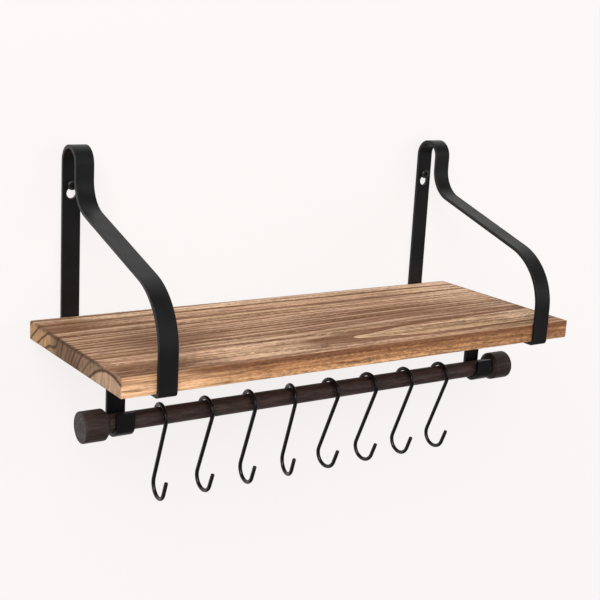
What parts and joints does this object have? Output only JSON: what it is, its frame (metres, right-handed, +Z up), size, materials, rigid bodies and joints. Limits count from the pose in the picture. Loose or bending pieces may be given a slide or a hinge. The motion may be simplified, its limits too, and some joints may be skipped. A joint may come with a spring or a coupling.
{
  "type": "wall shelf",
  "caption": "Wall shelf: a torched wooden board in bent black strap brackets, with a dark wooden rod and S-hooks hanging under it.",
  "frame": {"origin": "on the wall, midway between the two wall screws' axes", "axes": "+X to the right along the board, +Y into the wall, +Z up; the shelf is on the -Y side"},
  "size_m": [0.42, 0.2085, 0.2642],
  "materials": {
    "torched_wood": "torched, brushed and matt",
    "strap_black": "matt black powder coat",
    "stained_wood": "dark stain, satin",
    "wire_black": "satin black",
    "screw_black": "black oxide",
    "bright_steel": "zinc plated"
  },
  "bodies": {
    "shelf": {"board": "torched_wood", "bracket_left": "strap_black", "bracket_right": "strap_black", "wall_screw_left": "screw_black", "wall_screw_right": "screw_black", "board_screws_front": "screw_black", "board_screws_rear": "screw_black"},
    "rod": {"rod": "stained_wood", "end_cap_left": "stained_wood", "end_cap_right": "stained_wood", "cap_screw_left": "bright_steel", "cap_screw_right": "bright_steel"},
    "hook_1": {"hook_1": "wire_black"},
    "hook_2": {"hook_2": "wire_black"},
    "hook_3": {"hook_3": "wire_black"},
    "hook_4": {"hook_4": "wire_black"},
    "hook_5": {"hook_5": "wire_black"},
    "hook_6": {"hook_6": "wire_black"},
    "hook_7": {"hook_7": "wire_black"},
    "hook_8": {"hook_8": "wire_black"}
  },
  "joints": [
    {"name": "rod_turn", "type": "hinge", "parent": "shelf", "child": "rod", "pos_m": [0, -0.0973, -0.1632], "axis": [1, 0, 0], "continuous": true},
    {"name": "hook_1_swing", "type": "hinge", "parent": "shelf", "child": "hook_1", "pos_m": [-0.1425, -0.0973, -0.1643], "axis": [0.9986, -0.0523, 0], "range_deg": [-60, 60]},
    {"name": "hook_2_swing", "type": "hinge", "parent": "shelf", "child": "hook_2", "pos_m": [-0.10329, -0.0973, -0.1643], "axis": [0.9994, 0.0349, 0], "range_deg": [-60, 60]},
    {"name": "hook_3_swing", "type": "hinge", "parent": "shelf", "child": "hook_3", "pos_m": [-0.06407, -0.0973, -0.1643], "axis": [0.9994, -0.0349, 0], "range_deg": [-60, 60]},
    {"name": "hook_4_swing", "type": "hinge", "parent": "shelf", "child": "hook_4", "pos_m": [-0.02486, -0.0973, -0.1643], "axis": [0.9877, -0.1564, 0], "range_deg": [-60, 60]},
    {"name": "hook_5_swing", "type": "hinge", "parent": "shelf", "child": "hook_5", "pos_m": [0.01436, -0.0973, -0.1643], "axis": [0.9903, 0.1392, 0], "range_deg": [-60, 60]},
    {"name": "hook_6_swing", "type": "hinge", "parent": "shelf", "child": "hook_6", "pos_m": [0.05357, -0.0973, -0.1643], "axis": [0.9877, 0.1564, 0], "range_deg": [-60, 60]},
    {"name": "hook_7_swing", "type": "hinge", "parent": "shelf", "child": "hook_7", "pos_m": [0.09279, -0.0973, -0.1643], "axis": [0.9962, 0.0872, 0], "range_deg": [-60, 60]},
    {"name": "hook_8_swing", "type": "hinge", "parent": "shelf", "child": "hook_8", "pos_m": [0.132, -0.0973, -0.1643], "axis": [0.9945, 0.1045, 0], "range_deg": [-60, 60]}
  ]
}
